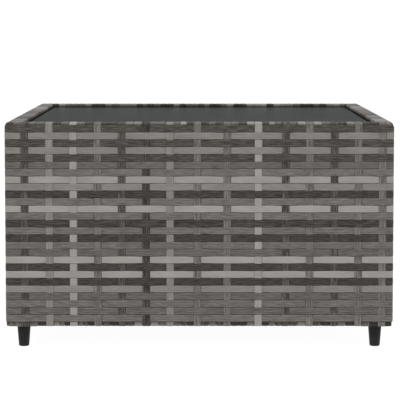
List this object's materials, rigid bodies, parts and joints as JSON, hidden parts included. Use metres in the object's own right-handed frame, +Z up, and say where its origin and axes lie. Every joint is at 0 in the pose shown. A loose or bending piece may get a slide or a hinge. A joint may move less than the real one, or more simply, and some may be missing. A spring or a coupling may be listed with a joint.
{
  "type": "wicker coffee table",
  "caption": "Low square garden table: steel tube frame under a skin of woven flat plastic strands, loose smoked glass top, tapered screw-on feet.",
  "frame": {"origin": "on the floor, under the middle of the table", "axes": "+Z up, the front side faces -Y, +X to the right seen from the front"},
  "size_m": [0.6, 0.6, 0.35],
  "materials": {
    "frame_paint": "satin black powder coat",
    "stud_steel": "zinc plated",
    "foot_plastic": "satin moulded",
    "strand_plastic": "grained flat strand in mixed greys and browns",
    "pad_silicone": "translucent silicone",
    "smoked_glass": "polished, ground edges"
  },
  "bodies": {
    "table": {"top_rail_front": "frame_paint", "top_rail_right": "frame_paint", "top_rail_back": "frame_paint", "top_rail_left": "frame_paint", "bottom_rail_front": "frame_paint", "bottom_rail_right": "frame_paint", "bottom_rail_back": "frame_paint", "bottom_rail_left": "frame_paint", "corner_post_front_left": "frame_paint", "corner_post_front_right": "frame_paint", "corner_post_back_right": "frame_paint", "corner_post_back_left": "frame_paint", "glass_ledge_front": "frame_paint", "glass_ledge_right": "frame_paint", "glass_ledge_back": "frame_paint", "glass_ledge_left": "frame_paint", "foot_plate_front_left": "frame_paint", "foot_plate_front_right": "frame_paint", "foot_plate_back_right": "frame_paint", "foot_plate_back_left": "frame_paint", "foot_stud_front_left": "stud_steel", "foot_stud_front_right": "stud_steel", "foot_stud_back_right": "stud_steel", "foot_stud_back_left": "stud_steel", "foot_front_left": "foot_plastic", "foot_front_right": "foot_plastic", "foot_back_right": "foot_plastic", "foot_back_left": "foot_plastic", "wicker_panel_front": "strand_plastic", "wicker_panel_right": "strand_plastic", "wicker_panel_back": "strand_plastic", "wicker_panel_left": "strand_plastic", "rim_wrap_front": "strand_plastic", "rim_wrap_right": "strand_plastic", "rim_wrap_back": "strand_plastic", "rim_wrap_left": "strand_plastic", "base_wrap_front": "strand_plastic", "base_wrap_right": "strand_plastic", "base_wrap_back": "strand_plastic", "base_wrap_left": "strand_plastic", "glass_pad_front_1": "pad_silicone", "glass_pad_front_2": "pad_silicone", "glass_pad_right_1": "pad_silicone", "glass_pad_right_2": "pad_silicone", "glass_pad_back_1": "pad_silicone", "glass_pad_back_2": "pad_silicone", "glass_pad_left_1": "pad_silicone", "glass_pad_left_2": "pad_silicone"},
    "glass": {"glass_top": "smoked_glass"}
  },
  "joints": [
    {"name": "glass_lift", "type": "slide", "parent": "table", "child": "glass", "axis": [0, 0, 1], "range_m": [0, 0.08]}
  ]
}
